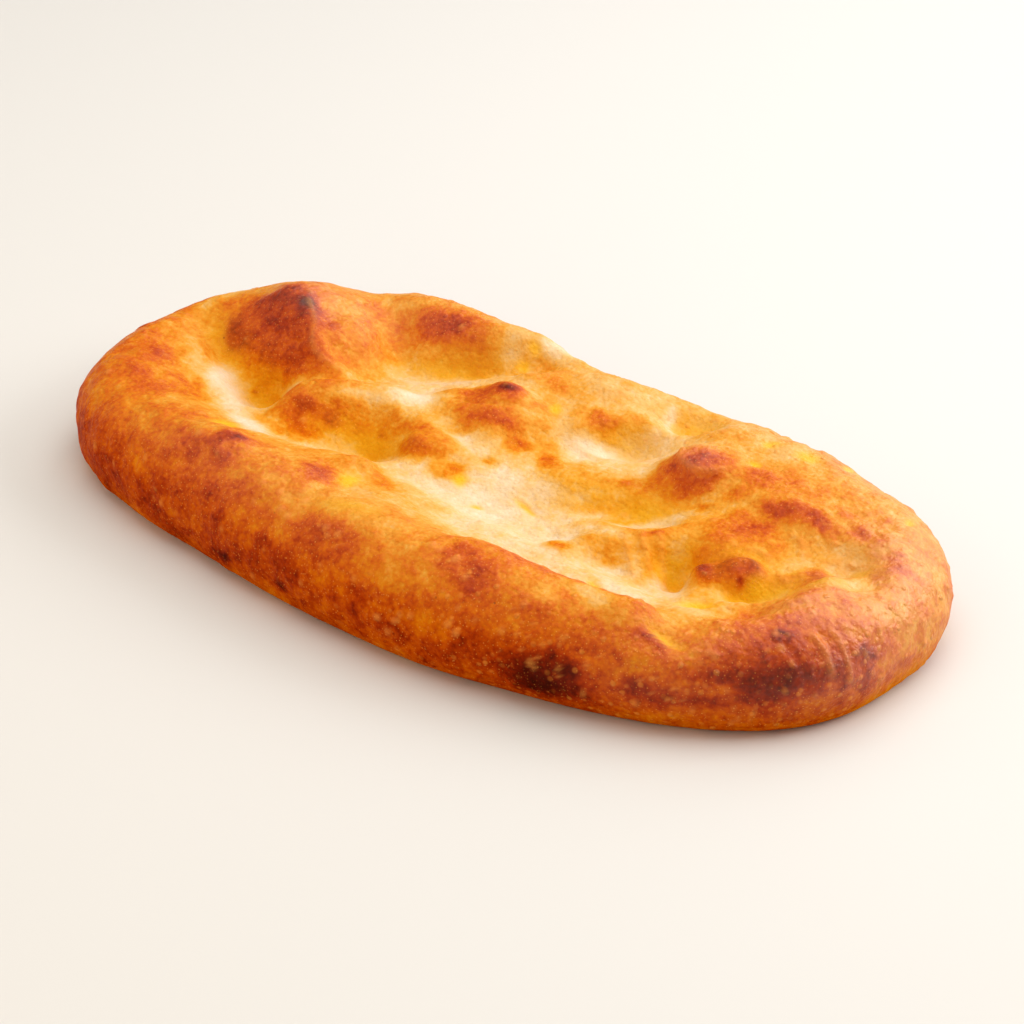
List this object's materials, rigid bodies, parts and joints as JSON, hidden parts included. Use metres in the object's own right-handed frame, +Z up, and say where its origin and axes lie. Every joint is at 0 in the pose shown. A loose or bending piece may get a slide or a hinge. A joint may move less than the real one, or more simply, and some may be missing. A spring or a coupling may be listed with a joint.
{
  "type": "focaccia",
  "caption": "Whole oval focaccia: one uncut flatbread with a thick rounded rim, finger-pressed dimples and risen blisters in its lower middle, and a flat base.",
  "frame": {"origin": "on the flat base, under the middle of the outline", "axes": "+Z up, X along the bread, -Y towards the side whose rim is plain and smooth"},
  "size_m": [0.3, 0.154, 0.0398],
  "materials": {
    "baked_crust": "baked bread crust, golden to toasted brown on the rim and the risen dough, pale cream in the valleys, satin with a trace of oil"
  },
  "bodies": {
    "root": {"focaccia": "baked_crust"}
  },
  "joints": []
}
